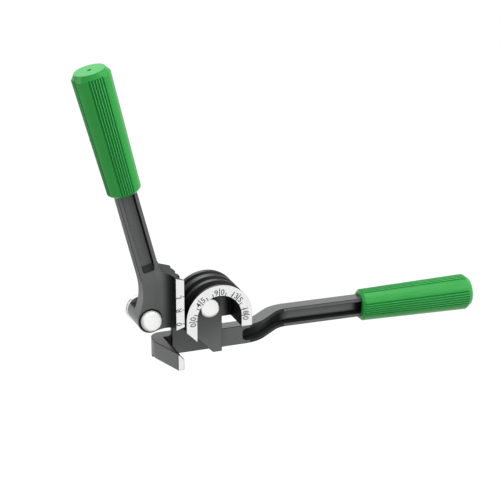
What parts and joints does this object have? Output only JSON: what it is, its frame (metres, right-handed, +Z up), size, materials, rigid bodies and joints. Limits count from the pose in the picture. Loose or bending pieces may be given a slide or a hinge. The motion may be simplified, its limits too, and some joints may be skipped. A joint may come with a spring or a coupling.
{
  "type": "tube bender",
  "caption": "Hand tube bender with a half-round grooved former on a fixed arm, a hook, and a linked lever whose grooved shoe wraps the tube round the former.",
  "frame": {"origin": "on the flat back face of the fixed arm, at half its height, straight below the bend centre", "axes": "+X along the fixed arm towards its grip, +Y out of the back face (the scale faces -Y), +Z up towards the former"},
  "size_m": [0.3787, 0.0823, 0.2713],
  "materials": {
    "casting": "black paint on cast aluminium, front faces machined bare",
    "grip": "moulded green plastic, satin, fine ribs",
    "plated_steel": "bright zinc plate, satin",
    "hardware": "zinc plate",
    "spring_steel": "oiled black spring steel",
    "bronze": "sintered bronze"
  },
  "bodies": {
    "fixed_handle": {"fixed_arm": "casting", "bending_former": "casting", "former_screws": "hardware", "former_dowels": "hardware", "former_pin": "plated_steel", "former_pin_thrust_washer": "bronze", "former_pin_rear_washer": "hardware", "former_pin_spring_washer": "spring_steel", "former_pin_clip": "spring_steel", "fixed_grip": "grip"},
    "link": {"link_plate": "plated_steel", "link_bush_former": "bronze", "link_bush_lever": "bronze"},
    "lever": {"bending_lever": "casting", "lever_pin": "plated_steel", "lever_pin_thrust_washer": "bronze", "lever_pin_rear_washer": "hardware", "lever_pin_spring_washer": "spring_steel", "lever_pin_clip": "spring_steel", "lever_grip": "grip"}
  },
  "joints": [
    {"name": "link_swing", "type": "hinge", "parent": "fixed_handle", "child": "link", "pos_m": [0, -0.005, 0.0358], "axis": [0, 1, 0], "range_deg": [0, 180]},
    {"name": "lever_tilt", "type": "hinge", "parent": "link", "child": "lever", "pos_m": [-0.0555, -0.005, 0.0358], "axis": [0, 1, 0], "range_deg": [-100, 0]}
  ]
}
